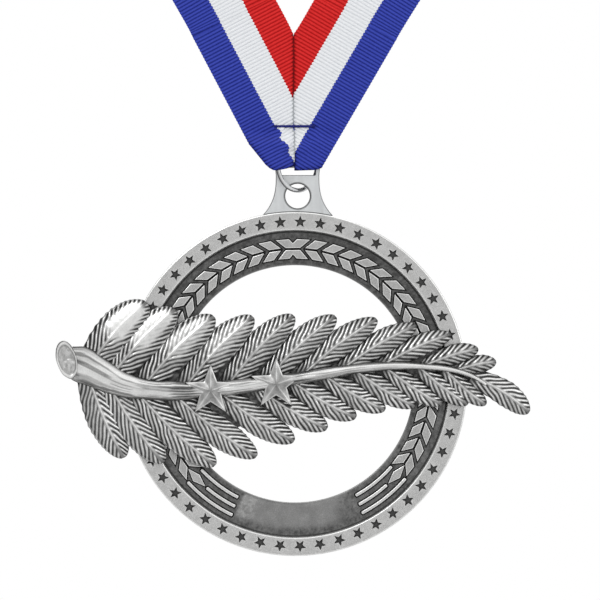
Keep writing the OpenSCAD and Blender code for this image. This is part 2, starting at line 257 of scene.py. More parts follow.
def antique_metal(name, tint, shine, grain):
    """Plated metal whose tone layer runs from 0, black patina, to 1, rubbed bright. On the frond's leaflets
    the tone also carries painted shade.
    """
    material, tree, shader = new_material(name)
    tone = layer(tree, "tone")
    cloud = math_node(tree, "SUBTRACT", texture_noise(tree, 420), 0.5)
    fine = math_node(tree, "SUBTRACT", texture_noise(tree, 4200, 2.0), 0.5)
    dirt = math_node(
        tree, "ADD",
        math_node(tree, "MULTIPLY", cloud, 0.16),
        math_node(tree, "MULTIPLY", fine, 0.22),
    )
    # The tone with dirt added: patina and wear, and on the leaflets also painted shade.
    worn = math_node(tree, "ADD", tone, dirt, clamp=True)
    greys = [(0, 0.012), (0.25, 0.085), (0.5, 0.26), (0.75, 0.56), (1, 0.92)]
    colour = ramp(tree, worn, [(p, tuple(g * t for t in tint)) for p, g in greys])
    rough = math_node(tree, "MULTIPLY_ADD", worn, shine - 0.62, 0.62)
    pits = texture_noise(tree, 5200, 3.0)
    swell = texture_noise(tree, 900, 2.0)
    normal = relief(tree, 0.6, grain, math_node(tree, "ADD", pits, swell))
    put(tree, shader, {"Base Color": colour, "Metallic": 1.0, "Roughness": rough, "Normal": normal})
    return material


def bright_metal(name, tint, roughness, stretch, scratch):
    """Smooth plate with faint scratches drawn out along one direction."""
    material, tree, shader = new_material(name)
    lines = texture_noise(tree, 700, 6.0, stretch)
    cloud = texture_noise(tree, 130, 2.0)
    colour = ramp(
        tree, math_node(tree, "MULTIPLY_ADD", lines, 0.5, math_node(tree, "MULTIPLY", cloud, 0.5)),
        [(0.3, tuple(0.86 * t for t in tint)), (0.7, tint)],
    )
    # The tone layer darkens the colour: on the tab it is patina together with painted shade along the edges
    # and round the hole, and on the wire it is painted shade along its inner and outer edges.
    tone = layer(tree, "tone")
    patina_and_painted_shade = mix_colours(tree, 1.0, colour, tone, "MULTIPLY")
    rough = math_node(tree, "MULTIPLY_ADD", lines, 0.14, roughness)
    normal = relief(tree, 0.4, scratch, math_node(tree, "ADD", lines, cloud))
    put(tree, shader, {"Base Color": patina_and_painted_shade, "Metallic": 1.0, "Roughness": rough, "Normal": normal})
    return material


RIB_PITCH = 0.83e-3
RED_END = 0.334
WHITE_END = 0.656
STRIPES = [  # red, white and blue, each from its shaded furrows to its lit crests
    [(0.12, (0.17, 0.001, 0.002)), (0.5, (0.5, 0.006, 0.006)), (1, (0.72, 0.03, 0.03))],
    [(0.08, (0.4, 0.42, 0.44)), (0.4, (0.68, 0.7, 0.73)), (1, (0.8, 0.81, 0.83))],
    [(0.12, (0.001, 0.002, 0.06)), (0.5, (0.016, 0.028, 0.26)), (1, (0.05, 0.075, 0.46))],
]


def ribbon_material():
    """Three woven stripes. The layers give the place across the ribbon, from 0 at the inner edge
    to 1 at the outer one, the number of the rib, and how far a point is shaded by a fold."""
    material, tree, shader = new_material("ribbon_grosgrain")
    across, rib, shade = (layer(tree, name) for name in ("across", "rib", "shade"))
    phase = math_node(tree, "FRACT", rib)
    crest = math_node(tree, "SINE", math_node(tree, "MULTIPLY", phase, math.pi))
    step = math_node(tree, "MULTIPLY_ADD", crest, 0.012, across)
    wobble = math_node(tree, "SUBTRACT", texture_noise(tree, 1500, 2.0), 0.5)
    place = math_node(tree, "MULTIPLY_ADD", wobble, 0.01, math_node(tree, "SUBTRACT", step, 0.006))
    threads = math_node(tree, "SINE", math_node(tree, "MULTIPLY", across, 500.0))
    threads = math_node(tree, "MULTIPLY_ADD", threads, 0.5, 0.5)
    fibre = texture_noise(tree, 3200, 4.0)
    light = math_node(
        tree, "MULTIPLY_ADD", crest, 0.62,
        math_node(tree, "MULTIPLY_ADD", fibre, 0.36, math_node(tree, "MULTIPLY", threads, 0.12)),
    )
    light = math_node(tree, "SUBTRACT", light, math_node(tree, "MULTIPLY", shade, 0.55), clamp=True)
    red, white, blue = (ramp(tree, light, stops) for stops in STRIPES)
    past_red = math_node(tree, "GREATER_THAN", place, RED_END)
    past_white = math_node(tree, "GREATER_THAN", place, WHITE_END)
    stripes = mix_colours(tree, past_white, mix_colours(tree, past_red, red, white), blue)
    weave = math_node(tree, "MULTIPLY_ADD", threads, 0.35, math_node(tree, "ADD", crest, fibre))
    put(tree, shader, {
        "Base Color": stripes, "Roughness": 0.72, "Specular IOR Level": 0.12, "Sheen Weight": 0.04,
        "Sheen Roughness": 0.5, "Normal": relief(tree, 0.7, 0.09e-3, weave),
    })
    return material


def thread_material():
    material, tree, shader = new_material("sewing_thread")
    # The tone layer gives each thread its own tone, and on the seam's plies painted light and painted shade
    # along their twist.
    tone_and_ply_shade = layer(tree, "tone")
    fibre = texture_noise(tree, 6000, 4.0)
    light = math_node(tree, "MULTIPLY_ADD", fibre, 0.5, math_node(tree, "MULTIPLY", tone_and_ply_shade, 0.5))
    colour = ramp(tree, light, [(0.2, (0.004, 0.005, 0.06)), (0.8, (0.026, 0.034, 0.26))])
    put(tree, shader, {
        "Base Color": colour, "Roughness": 0.65, "Specular IOR Level": 0.15,
        "Normal": relief(tree, 0.5, 0.03e-3, fibre),
    })
    return material


# ---------- camera ----------

PHOTO_WIDTH = 0.1465  # width of the picture at the face of the medal
PHOTO_PLACE = (0.0006, 0.0207)  # middle of the picture beside and above the ring's middle
CAMERA_BACK = 2.0

camera = bpy.data.objects.new("camera", bpy.data.cameras.new("camera"))
bpy.context.scene.collection.objects.link(camera)
camera.data.sensor_width = 36
camera.data.lens = camera.data.sensor_width * CAMERA_BACK / PHOTO_WIDTH
camera.data.clip_start, camera.data.clip_end = 0.1, 30
camera.location = MIDDLE + Vector((PHOTO_PLACE[0], FRONT_Y - CAMERA_BACK, PHOTO_PLACE[1]))
camera.rotation_euler = (math.pi / 2, 0, 0)
bpy.context.scene.camera = camera


# ---------- neck ribbon ----------

RIBBON_W = 0.0222
RIBBON_T = 0.0005
LEAN = {-1: math.radians(27.7), 1: math.radians(30.2)}  # left leg, right leg
SEAM_X = -0.85e-3
V_TOP_Z = 85.5e-3
RIBBON_Y = -2e-3
STRAIGHT_Z = 0.1
TACK_X, TACK_Z = -0.7e-3, 63.1e-3
TACK_LENGTH, TACK_HEIGHT = 9.8e-3, 0.44e-3
NECK_Y = 0.062
LEG_ROUTE = [
    (0.030, -0.001, 0.115), (0.046, 0.004, 0.142), (0.062, 0.013, 0.171), (0.075, 0.027, 0.202),
    (0.083, 0.048, 0.232), (0.082, 0.075, 0.257), (0.071, 0.103, 0.275), (0.053, 0.125, 0.287),
    (0.028, 0.140, 0.294), (0.0, 0.146, 0.296),
]
LEG_START = -6e-3  # the route's first point, along the leg from the end of its straight part
LEG_LAP = 0.25e-3
# The flap stands off the V's plane below the tack, and further on its left, over the jump ring
FLAP_OUT, FLAP_FLARE, FLAP_REACH = 1.2e-3, 0.45, 6e-3
FLAP_START_Z, FLAP_FALL = 61.8e-3, 3.2e-3
FLAP_ROLL, ROLL_W = 0.5e-3, 1.4e-3  # how far its lower edge rolls back, and over what width
# Where the flap's lower edge and its slanting corner run, for each half of the V
FLAP_CUTS = {
    -1: [
        ((-5.4e-3, 52.3e-3), (-0.05, -1)), ((-6.6e-3, 52.7e-3), (-0.45, -0.89)),
        ((-7.6e-3, 53.5e-3), (-0.66, -0.75)), ((-8.8e-3, 54.9e-3), (-0.78, -0.63)),
        ((-3.6e-3, 52.55e-3), (0.2, -0.98)), ((-1.6e-3, 53.1e-3), (0.32, -0.95)),
    ],
    1: [
        ((2.4e-3, 52.35e-3), (0.03, -1)), ((5.2e-3, 52.7e-3), (0.28, -0.96)),
        ((6.5e-3, 53.4e-3), (0.6, -0.8)), ((7.7e-3, 54.9e-3), (0.8, -0.6)),
        ((0.1e-3, 52.2e-3), (-0.12, -0.99)),
    ],
}
# Puckers under the ends of the bar tack: middle, reach, sideways push and forward push
PUCKERS = [
    (-4.4e-3, 61.9e-3, 1.2e-3, 0.9e-3, 0.5e-3), (-3.9e-3, 60.2e-3, 0.8e-3, -0.5e-3, -0.35e-3),
    (-2.9e-3, 58.3e-3, 1.3e-3, 0.8e-3, 0.5e-3), (-1.9e-3, 56.6e-3, 0.8e-3, -0.35e-3, -0.25e-3),
    (3.9e-3, 61.6e-3, 1.2e-3, 0.35e-3, 0.5e-3), (2.9e-3, 59.8e-3, 0.9e-3, -0.45e-3, -0.3e-3),
    (1.7e-3, 57.6e-3, 1.2e-3, 0.3e-3, 0.3e-3), (-7.5e-3, 60.5e-3, 1.5e-3, 0, -0.3e-3),
    (7.6e-3, 61.0e-3, 1.6e-3, 0, -0.3e-3), (-5.6e-3, 58.0e-3, 1.4e-3, 0, -0.25e-3),
]


def leg_dir(side):
    return np.array([side * math.sin(LEAN[side]), math.cos(LEAN[side])])


def leg_across(side):
    return np.array([side * math.cos(LEAN[side]), -math.sin(LEAN[side])])


def straight_end(side):
    return (STRAIGHT_Z - V_TOP_Z) / math.cos(LEAN[side])


def rib_swell(s, across):
    """How far a rib stands up, for a place s along the ribbon."""
    from_edge = np.minimum(across, 1 - across)
    return 0.075e-3 * np.abs(np.sin(math.pi * s / RIB_PITCH)) * smooth(from_edge / 0.01)


def picot(s, across):
    """How far the ribs' loops stand out past the ribbon's two edges, as a share of its width."""
    loop = 0.0055 * (np.abs(np.sin(math.pi * s / RIB_PITCH)) - 0.5)
    return loop * (across > 0.999) - loop * (across < 0.001)


def strip_faces(rows, cols):
    """Faces of a closed strip, from two grids of points, front and back."""
    n = rows * cols
    grid = grid_faces(rows, cols)
    i = np.arange(rows - 1) * cols
    j = np.arange(cols - 1)
    last = (rows - 1) * cols
    right = i + cols - 1
    return np.concatenate([
        grid, grid[:, ::-1] + n,
        np.stack([i, i + cols, i + cols + n, i + n], -1),
        np.stack([right, right + n, right + cols + n, right + cols], -1),
        np.stack([j, j + n, j + 1 + n, j + 1], -1),
        np.stack([last + j, last + j + 1, last + j + 1 + n, last + j + n], -1),
    ]).tolist()


def v_half(build, side):
    """One half of the V, cut along the seam and the flap's edge, and then folded and puckered."""
    origin, along, over = np.array([SEAM_X, V_TOP_Z]), leg_dir(side), leg_across(side)
    s_end = straight_end(side) + LEG_START
    rows, cols = int((s_end + 0.05) / (RIB_PITCH / 4)) + 1, 36
    s = (s_end - (RIB_PITCH / 4) * np.arange(rows)[::-1])[:, None]
    v = np.linspace(0, 1, cols)[None, :]
    flat = origin + (v * RIBBON_W)[..., None] * over + s[..., None] * along
    front = np.stack([flat[..., 0], np.full(flat.shape[:2], -RIBBON_T / 2), flat[..., 1]], -1)
    back = front * (1, -1, 1)
    mesh = bpy.data.meshes.new("cutting")
    mesh.from_pydata(
        np.concatenate([front.reshape(-1, 3), back.reshape(-1, 3)]).tolist(), [], strip_faces(rows, cols)
    )
    work = bmesh.new()
    work.from_mesh(mesh)
    cuts = [((SEAM_X + side * 0.004e-3, 0), (-side, 0)), *FLAP_CUTS[side]]
    for (x, z), (out_x, out_z) in cuts:
        geometry = work.verts[:] + work.edges[:] + work.faces[:]
        made = bmesh.ops.bisect_plane(
            work, geom=geometry, plane_co=(x, 0, z), plane_no=(out_x, 0, out_z), clear_outer=True
        )
        rim = [e for e in made["geom_cut"] if isinstance(e, bmesh.types.BMEdge)]
        bmesh.ops.holes_fill(work, edges=rim)
    work.to_mesh(mesh)
    work.free()
    points = np.array([p.co for p in mesh.vertices])
    faces = [list(f.vertices) for f in mesh.polygons]
    bpy.data.meshes.remove(mesh)
    x, z, layer = points[:, 0], points[:, 2], np.sign(points[:, 1])
    place = np.stack([x, z], -1) - origin
    across, s = place @ over / RIBBON_W, place @ along
    # The flap stands off the front, rolls back at its lower edge and tucks in at the seam
    left = smooth(-x / FLAP_REACH) * FLAP_REACH
    y = RIBBON_Y - (FLAP_OUT + FLAP_FLARE * left) * smooth((FLAP_START_Z - z) / FLAP_FALL)
    edge = np.min([
        (np.array(p) - np.stack([x, z], -1)) @ (np.array(n) / np.hypot(*n)) for p, n in FLAP_CUTS[side]
    ], axis=0)
    roll = 1 - np.clip(edge / ROLL_W, 0, 1)
    y += FLAP_ROLL * (1 - 0.9 * smooth(-x / 3e-3)) * (1 - np.sqrt(1 - 0.96 * roll**2))
    seam = np.abs(x - SEAM_X)
    y += 0.28e-3 * np.exp(-seam / 0.35e-3)
    shade = 1.5 * np.exp(-seam / 0.2e-3) + 0.75 * roll**2
    # The tack pulls the cloth in, and puckers it below
    by_tack = np.maximum(np.abs(x - TACK_X) - TACK_LENGTH / 2, 0)
    pulled = bump(np.hypot(by_tack, z - TACK_Z) / 0.8e-3)
    y += 0.12e-3 * pulled
    shade += 0.35 * pulled
    push = np.zeros(len(x))
    for px, pz, reach, sideways, forward in PUCKERS:
        near = bump(np.hypot(x - px, z - pz) / reach)
        push += sideways * near
        y -= forward * near
        shade -= 180 * forward * near * (1 if forward < 0 else 0.2)
    push *= smooth(seam / 1.5e-3)
    push += 0.22e-3 * noise(z / 5e-3, 2.7) * np.exp(-seam / 2e-3)
    y -= 0.1e-3 * noise(x / 3.1e-3 + side, z / 2.3e-3) * smooth((66e-3 - z) / 6e-3)
    y += layer * (RIBBON_T / 2 + rib_swell(s, across))
    x = x + push + over[0] * picot(s, across) * RIBBON_W
    z = z + over[1] * picot(s, across) * RIBBON_W
    build.add(np.stack([x, y, z], -1), faces, across, s / RIB_PITCH, shade)


def leg(build, side):
    """The rest of one leg, from the V round to the nape."""
    origin, along, over = np.array([SEAM_X, V_TOP_Z]), leg_dir(side), leg_across(side)
    straight = [origin + over * RIBBON_W / 2 + along * (straight_end(side) + d) for d in (LEG_START, 0)]
    points = [(p[0], RIBBON_Y, p[1]) for p in straight]
    points += [(side * x, y, z) for x, y, z in LEG_ROUTE]
    x, y, z = LEG_ROUTE[-2]
    points.append((-side * x, y, z))  # sets the direction at the nape
    end = len(points) - 2
    t = np.linspace(0, end, 4000)
    line = curve_at(points, t)
    length = np.concatenate([[0], np.cumsum(np.linalg.norm(np.diff(line, axis=0), axis=1))])
    rows = int(length[-1] / (RIB_PITCH / 3)) + 1
    far = np.linspace(0, length[-1], rows)
    t = np.interp(far, length, t)
    line = curve_at(points, t)
    line[0] -= LEG_LAP * np.insert(along, 1, 0)
    line[-1] -= (side * LEG_LAP, 0, 0)
    ahead = curve_at(points, t + 0.1) - curve_at(points, np.maximum(0, t - 0.1))
    to_neck = unit(np.stack([-line[:, 0], NECK_Y - line[:, 1], 0 * t], -1))
    turn = smooth((line[:, 2] - STRAIGHT_Z) / 0.12)[:, None]
    inward = unit(mix(np.array([0, 1.0, 0]), to_neck, turn))
    wide = unit(np.cross(inward, ahead) * side)
    v = np.array([0, 0.02, 0.18, RED_END, 0.5, WHITE_END, 0.82, 0.98, 1.0])[None, :]
    s = (straight_end(side) + LEG_START + far)[:, None]
    offset = (v - 0.5 + picot(s, v)) * RIBBON_W
    middle = line[:, None] + offset[..., None] * wide[:, None]
    sag = 0.12e-3 * noise(s / 16e-3 + 9 * side, v * 2) * smooth(far / 0.02)[:, None]
    lift = RIBBON_T / 2 + rib_swell(s, v)
    lift[[0, -1]] -= LEG_LAP / 3  # each lapped end lies inside the next strip's own thickness
    front = middle - (lift + sag)[..., None] * inward[:, None]
    back = middle + (lift - sag)[..., None] * inward[:, None]
    both = np.concatenate([front.reshape(-1, 3), back.reshape(-1, 3)])
    across, rib = (np.tile(np.broadcast_to(a, front.shape[:2]).ravel(), 2) for a in (v, s / RIB_PITCH))
    build.add(both, strip_faces(rows, v.shape[1]), across, rib, 0.0)


def tail_loop(build):
    """The ribbon's tails, turned back round the top of the jump ring."""
    half_w, loop_r, top = 1.6e-3, 1e-3, 4.4e-3
    turn = math.atan2(SWING_AXIS.y, SWING_AXIS.x)
    arc = np.radians(np.linspace(180, 360, 21))
    rows_of = []
    for r in (loop_r, loop_r + RIBBON_T):
        front, back = RIBBON_Y + 0.5e-3 - (r - loop_r), RIBBON_Y + 0.7e-3 + (r - loop_r)
        path = [(front, top, 0), (front, top - 0.5e-3, 0), (front, top - 1e-3, 0)]
        path += [(r * math.cos(a), r * math.sin(a), turn) for a in arc]
        path += [(back, top - 1e-3, 0), (back, top - 0.5e-3, 0), (back, top, 0)]
        a = np.linspace(-half_w, half_w, 9)[None, :]
        p, h, q = (np.array(path)[:, k][:, None] for k in range(3))
        rows_of.append(np.stack(np.broadcast_arrays(
            a * np.cos(q) - p * np.sin(q), a * np.sin(q) + p * np.cos(q), h + 0 * a), -1))
    rows = rows_of[0].shape[0]
    lift = Vector(JUMP_MIDDLE) - MIDDLE + Vector((0, 0, jump_high.z - JUMP_MIDDLE.z - WIRE_R))
    both = np.concatenate([r.reshape(-1, 3) for r in rows_of]) + np.array(lift)
    rib = np.tile(np.repeat(np.arange(rows) * 0.6, 9), 2)
    build.add(both, strip_faces(rows, 9), 0.85, rib, 0.2)


WIRE_R = 0.55e-3
ribbon_build = Build()
for half in (-1, 1):
    v_half(ribbon_build, half)
    leg(ribbon_build, half)
tail_loop(ribbon_build)
ribbon = ribbon_build.make(
    "striped_neck_ribbon", "ribbon", "neck_ribbon", ribbon_material(),
    ("across", "rib", "shade"), MIDDLE, 60,
)

# The bar tack: two core threads with a dense row of stitches over them
thread = thread_material()
tack_build = Build()
tack_y = RIBBON_Y - RIBBON_T / 2
for height in (-0.1e-3, 0.1e-3):
    core_x = np.linspace(-TACK_LENGTH / 2, TACK_LENGTH / 2, 60)
    core = np.stack([TACK_X + core_x, 0 * core_x + tack_y - 0.12e-3, TACK_Z + height + 0 * core_x], -1)
    tack_build.tube(core, 0.12e-3, (0, 0, 1), 8, 0.3)
STITCHES = 84
for k in range(STITCHES):
    over = np.radians(np.linspace(0, 180, 13))
    lean = 0.04e-3 * (-1) ** k
    size = TACK_HEIGHT / 2 * (1.0 + 0.05 * noise(k * 0.7, 3.3))
    stitch = np.stack([
        TACK_X + (k / (STITCHES - 1) - 0.5) * TACK_LENGTH + lean * np.cos(over),
        tack_y + 0.1e-3 - 0.42e-3 * np.sin(over),
        TACK_Z + size * np.cos(over),
    ], -1)
    tack_build.tube(stitch, 0.11e-3, (1, 0, 0), 8, 0.4 + 0.2 * float(noise(k * 1.3, 0.5)))
bar_tack = tack_build.make("bar_tack_stitches", "ribbon", "bar_tack", thread, offset=MIDDLE)

# The seam's running stitches, seen from behind: two plies twisted round each other
seam_low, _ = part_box("seam_stitching")
seam_build = Build()
SEAM_STITCHES, STITCH_PITCH, STITCH_LENGTH = 8, 2e-3, 1.3e-3
for k in range(SEAM_STITCHES):
    run = np.linspace(0, 1, 40)
    sink = 0.3e-3 * (np.abs(2 * run - 1) ** 6)
    base = seam_low.z - MIDDLE.z + k * STITCH_PITCH
    for ply in (0, math.pi):
        a = ply + run * 14
        line = np.stack([
            SEAM_X + 0.07e-3 * np.cos(a),
            RIBBON_Y + RIBBON_T / 2 + 0.14e-3 + 0.07e-3 * np.sin(a) - sink,
            base + run * STITCH_LENGTH,
        ], -1)
        # Each ply's tone follows its twist: painted light where it comes out on top, painted shade where it
        # dips under the other ply against the ribbon.
        seam_build.tube(line, 0.09e-3, (1, 0.2, 0), 8, 0.4 + 0.3 * np.repeat(np.sin(a), 8))
seam = seam_build.make("seam_stitches", "ribbon", "seam_stitching", thread, offset=MIDDLE)


# ---------- cast ring ----------

RIM_R = RING_R - 4.3e-3
OPENING_R = 29e-3
EDGE_CUT = 0.3e-3
FIELD_Y = FRONT_Y + 0.8e-3
LEAF_TOP_Y = FIELD_Y - 0.55e-3
STAR_COUNT, STAR_TURN = 51, 1.8
STAR_CIRCLE_R = RING_R - 2.4e-3
STAR_R, STAR_WAIST = 1.5e-3, 0.42
STAR_BAND = (RIM_R + 0.5e-3, RING_R - EDGE_CUT)
WREATH_TURN = 0.9
RIVET_TURNS = (171, 189, 8, -1)
RIVET_CIRCLE_R = 34.6e-3
RIVET_HEAD_R = 1.9e-3


def deep(flat, y):
    """Points of the ring's plane, put at a depth."""
    flat = np.asarray(flat, float)
    return np.stack([flat[..., 0], np.broadcast_to(y, flat.shape[:-1]), flat[..., 1]], -1)


def shifted(outline, inwards):
    """A closed outline with every side moved inwards by the same distance."""
    outline = np.asarray(outline, float)
    ahead = unit(np.roll(outline, -1, 0) - outline)
    area = np.sum(outline[:, 0] * np.roll(outline[:, 1], -1) - outline[:, 1] * np.roll(outline[:, 0], -1))
    normal = np.stack([-ahead[:, 1], ahead[:, 0]], -1) * np.sign(area)
    before = np.roll(normal, 1, 0)
    corner = normal + before
    corner /= np.maximum(np.sum(corner * normal, 1), 0.35)[:, None]
    return outline + corner * inwards


def star_outline(r, steps):
    """A star with one point up, with each side cut into steps."""
    turns = 90 + 36 * np.arange(10)
    corners = polar(np.where(np.arange(10) % 2 == 0, r, r * STAR_WAIST), turns)
    t = np.arange(steps)[:, None] / steps
    return np.concatenate([mix(corners[i], corners[(i + 1) % 10], t) for i in range(10)])


def ray_to_star(angle):
    """How far a star's outline is from its middle, for radius one, along each angle."""
    part = np.abs(np.mod(angle - 90 + 36, 72) - 36)
    a, b = polar(1.0, 0.0), polar(STAR_WAIST, 36.0)
    d, run = polar(1.0, part), b - a
    return (a[0] * run[1] - a[1] * run[0]) / (d[..., 0] * run[1] - d[..., 1] * run[0])


def ray_to_band(angle, half_turn):
    """How far the edge of a star's piece of the rim is from the star's middle, along each angle."""
    low, high = STAR_BAND
    d = polar(1.0, angle)
    along = STAR_CIRCLE_R * d[:, 1]
    to_outer = -along + np.sqrt(along**2 - STAR_CIRCLE_R**2 + high**2)
    under = along**2 - STAR_CIRCLE_R**2 + low**2
    to_inner = np.where((along < 0) & (under > 0), -along - np.sqrt(np.maximum(under, 0)), 1)
    slope = math.tan(math.radians(half_turn))
    reach = np.abs(d[:, 0]) - d[:, 1] * slope
    to_side = np.where(reach > 1e-6, STAR_CIRCLE_R * slope / np.maximum(reach, 1e-6), 1)
    return np.minimum(np.minimum(to_outer, to_inner), to_side)


def add_star_band(build):
    """The flat rim, cut into one piece round each sunk star."""
    half_turn = 180 / STAR_COUNT
    low, high = STAR_BAND
    corners = []
    for r in STAR_BAND:
        for turn in (-half_turn, half_turn):
            p = polar(r, 90 + turn) - (0, STAR_CIRCLE_R)
            corners.append(math.degrees(math.atan2(p[1], p[0])) % 360)
    angles = np.concatenate([np.arange(0, 360, 6), 90 + 36 * np.arange(10), corners])
    angles = np.unique(np.round(angles % 360, 6))
    star, edge = ray_to_star(angles), ray_to_band(angles, half_turn)
    rays = polar(1.0, angles)
    stack = [  # share from the star's outline to the edge, share of the star, depth, tone
        (1.0, 0, 0.0, 0.74), (0.6, 0, 0.0, 0.74), (0.25, 0, 0.0, 0.75), (0.0, 1.09, 0.0, 0.8),
        (0.0, 1.05, 0.04e-3, 0.95), (0.0, 1.0, 0.12e-3, 0.9), (0.0, 0.9, 0.34e-3, 0.5),
        (0.0, 0.86, 0.4e-3, 0.08), (0.0, 0.6, 0.4e-3, 0.18), (0.0, 0.1, 0.4e-3, 0.22),
    ]
    for k in range(STAR_COUNT):
        turn = 360 * k / STAR_COUNT - STAR_TURN
        loops = []
        scale = STAR_R * (1 + 0.03 * noise(k * 1.7, 2.2))
        for to_edge, of_star, depth, tone in stack:
            outline = star * scale * (of_star if of_star else 1.09)
            reach = mix(outline, edge, to_edge)
            flat = rays * reach[:, None] + (0, STAR_CIRCLE_R)
            c, s = math.cos(math.radians(turn)), math.sin(math.radians(turn))
            flat = flat @ np.array([[c, s], [-s, c]])
            loops.append(deep(flat, FRONT_Y + depth))
        build.loops(loops, [tone for *_, tone in stack])


def add_ring_body(build):
    """The rest of the ring, turned round its middle: lip, sunk field, bore, back and outer edge."""
    field = [(r * 1e-3, FIELD_Y, 0.275) for r in np.arange(36.9, 29.35, -0.27)]
    back_fine = [(r * 1e-3, BACK_Y, 0.66) for r in np.arange(31.4, 37.8, 0.3)]
    profile = [
        (STAR_BAND[0], FRONT_Y, 0.75), (RIM_R + 0.25e-3, FRONT_Y - 0.02e-3, 0.76),
        (RIM_R + 0.1e-3, FRONT_Y - 0.02e-3, 0.85), (RIM_R - 0.04e-3, FRONT_Y + 0.05e-3, 0.95),
        (RIM_R - 0.22e-3, FRONT_Y + 0.3e-3, 0.8), (RIM_R - 0.45e-3, FIELD_Y - 0.1e-3, 0.16),
        (RIM_R - 0.62e-3, FIELD_Y, 0.1), *field,
        (OPENING_R + 0.2e-3, FIELD_Y + 0.02e-3, 0.36), (OPENING_R + 0.05e-3, FIELD_Y + 0.1e-3, 0.6),
        (OPENING_R, FIELD_Y + 0.25e-3, 0.5), (OPENING_R, 0.4e-3, 0.42), (OPENING_R, BACK_Y - 0.15e-3, 0.5),
        (OPENING_R + 0.15e-3, BACK_Y, 0.8), (30e-3, BACK_Y, 0.68), *back_fine, (39.5e-3, BACK_Y, 0.68),
        (STAR_BAND[1], BACK_Y, 0.8), (RING_R - 0.08e-3, BACK_Y - 0.1e-3, 0.9),
        (RING_R, BACK_Y - EDGE_CUT, 0.75),
        (RING_R, 0, 0.62), (RING_R, FRONT_Y + EDGE_CUT, 0.72), (RING_R - 0.08e-3, FRONT_Y + 0.1e-3, 0.95),
        (STAR_BAND[1], FRONT_Y, 0.85),
    ]
    r, y, tone = (np.array([p[k] for p in profile])[:, None] for k in range(3))
    turns = np.linspace(0, 360, 721)[None, :-1]
    flat = polar(r + 0 * turns, turns + 0 * r)
    in_field = (y == FIELD_Y) & (r < RIM_R)
    on_back = y == BACK_Y
    stipple = noise(flat[..., 0] / 0.45e-3, flat[..., 1] / 0.45e-3)
    # The plain panel at the bottom is a little raised and rubbed, more so on its left
    from_low = np.abs(np.mod(turns - WREATH_TURN + 90 + 180, 360) - 180)
    panel = smooth((26.3 - from_low) / 1.6) * smooth((36.4e-3 - r) / 2.2e-3)
    panel *= smooth((r - 29.3e-3) / 0.5e-3)
    calm = smooth((21.5 - from_low) / 5)
    y = y + in_field * (0.05e-3 * stipple * (1 - 0.75 * panel * calm) - 0.14e-3 * panel)
    patch = smooth((flat[..., 0] - 9e-3) / 3e-3) * smooth((18e-3 - flat[..., 0]) / 3e-3)
    low_glow = 0.05 * smooth((110 - from_low) / 40)
    rubbed = panel * (0.21 - 0.19 * patch + 0.06 * (1 - calm)) + low_glow * (1 - panel)
    tone = tone + in_field * (0.08 * stipple * (1 - panel * calm) + rubbed)
    # Countersinks round the rivets on the back, and a cast surface there
    for turn in RIVET_TURNS:
        away = np.linalg.norm(flat - polar(RIVET_CIRCLE_R, float(turn)), axis=-1)
        dip = smooth((RIVET_HEAD_R + 0.5e-3 - away) / 0.5e-3)
        y = y - on_back * 0.35e-3 * dip
        tone = tone - on_back * 0.45 * bump((away - RIVET_HEAD_R - 0.2e-3) / 0.35e-3)
    y = y - on_back * 0.05e-3 * (0.5 + 0.5 * noise(flat[..., 0] / 2.2e-3, flat[..., 1] / 2.2e-3))
    rows = len(profile)
    build.add(deep(flat, y), grid_faces(rows, turns.shape[1], True).tolist(), tone + 0 * turns)


def add_raised(build, outline, bevel, flat_tone, edge_tone):
    """A leaf or bar standing on the field, with black patina round its foot and a rubbed bevel."""
    stack = [  # distance inwards, depth, tone
        (-0.26e-3, FIELD_Y - 0.06e-3, 0.14), (-0.12e-3, FIELD_Y - 0.06e-3, 0.0),
        (0, FIELD_Y - 0.12e-3, 0.0), (0.02e-3, LEAF_TOP_Y + 0.7 * bevel, 0.3),
        (0.4 * bevel, LEAF_TOP_Y + 0.25 * bevel, edge_tone), (bevel, LEAF_TOP_Y, edge_tone),
        (1.45 * bevel, LEAF_TOP_Y, flat_tone),
    ]
    build.loops([deep(shifted(outline, d), y) for d, y, _ in stack], [t for *_, t in stack])


GROOVE_R, GROOVE_W = 33e-3, 0.45e-3
OUTER_ROW = (GROOVE_R + GROOVE_W / 2, 35.4e-3)
INNER_ROW = (GROOVE_R - GROOVE_W / 2, 30.6e-3)
LEAF_PAIRS, LEAF_PITCH, LEAF_TURN, LEAF_SLANT = 17, 7.3, 5.1, 3.8
TOP_TURN, TOP_GAP, NOTCH_TURN, NOTCH_SHARE = 3.1, 1.9, 1.6, 0.45
BAR_ROWS = ((31e-3, 27.7, 48.4), (33.3e-3, 27.1, 41.2), (35.5e-3, 26.5, 48.4))
BAR_W, BAR_TIP, BAR_BEVEL, BAR_TONES = 0.85e-3, 0.16e-3, 0.22e-3, (0.8, 0.88)
LEAF_BEVEL, LEAF_TONE, LEAF_EDGE_TONE = 0.16e-3, 0.66, 0.94
LOZENGE_TURN, LOZENGE_HALF_W, LOZENGE_TONE = (42, 52.6), 1.15e-3, 0.68


